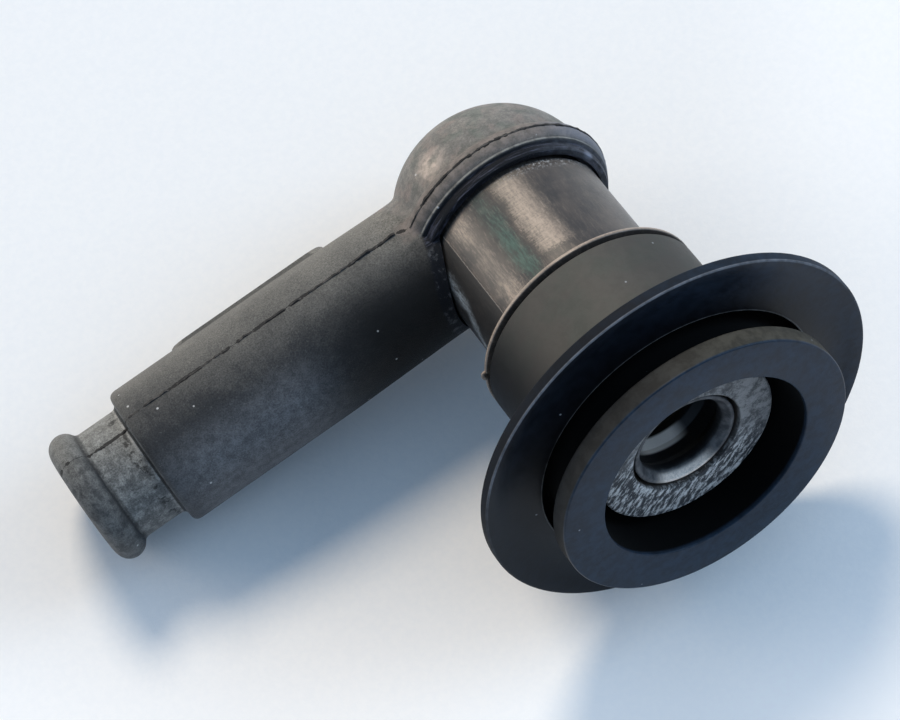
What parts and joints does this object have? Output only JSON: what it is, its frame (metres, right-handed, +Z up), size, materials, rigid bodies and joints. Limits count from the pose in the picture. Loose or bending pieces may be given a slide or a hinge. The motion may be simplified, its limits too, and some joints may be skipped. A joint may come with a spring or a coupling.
{
  "type": "spark plug cap",
  "caption": "Right-angle spark plug cap: ribbed socket and barrel for the plug, disc-shaped cowl seal with a groove, and a rubber elbow arm that takes the ignition lead.",
  "frame": {"origin": "on the surface that the cap lies on, under the middle of its bounding box", "axes": "+Z up from that surface, +Y the level direction in which the barrel opens towards the plug, +X along the arm towards the lead"},
  "size_m": [0.084, 0.06, 0.0474],
  "materials": {
    "phenolic": "worn glossy brown-black phenolic moulding, scratched, with a green stain",
    "jacket_rubber": "matt, dusty, fine-grained aged rubber",
    "seal_rubber": "satin black rubber",
    "sleeve_rubber": "satin dark grey rubber",
    "brass": "dull turned brass",
    "spring_steel": "drawn spring wire",
    "tin_plate": "tin-plated pressed caps",
    "ceramic": "unglazed ceramic",
    "fibre": "vulcanised fibre"
  },
  "bodies": {
    "root": {"barrel_body": "phenolic", "elbow_jacket": "jacket_rubber", "plug_seal": "seal_rubber", "insulator_sleeve": "sleeve_rubber", "plug_terminal": "brass", "terminal_clip": "spring_steel", "terminal_washer": "fibre", "resistor_rod": "ceramic", "resistor_cap_upper": "tin_plate", "resistor_cap_lower": "tin_plate", "contact_spring": "spring_steel", "elbow_contact": "brass", "lead_screw": "brass"}
  },
  "joints": []
}
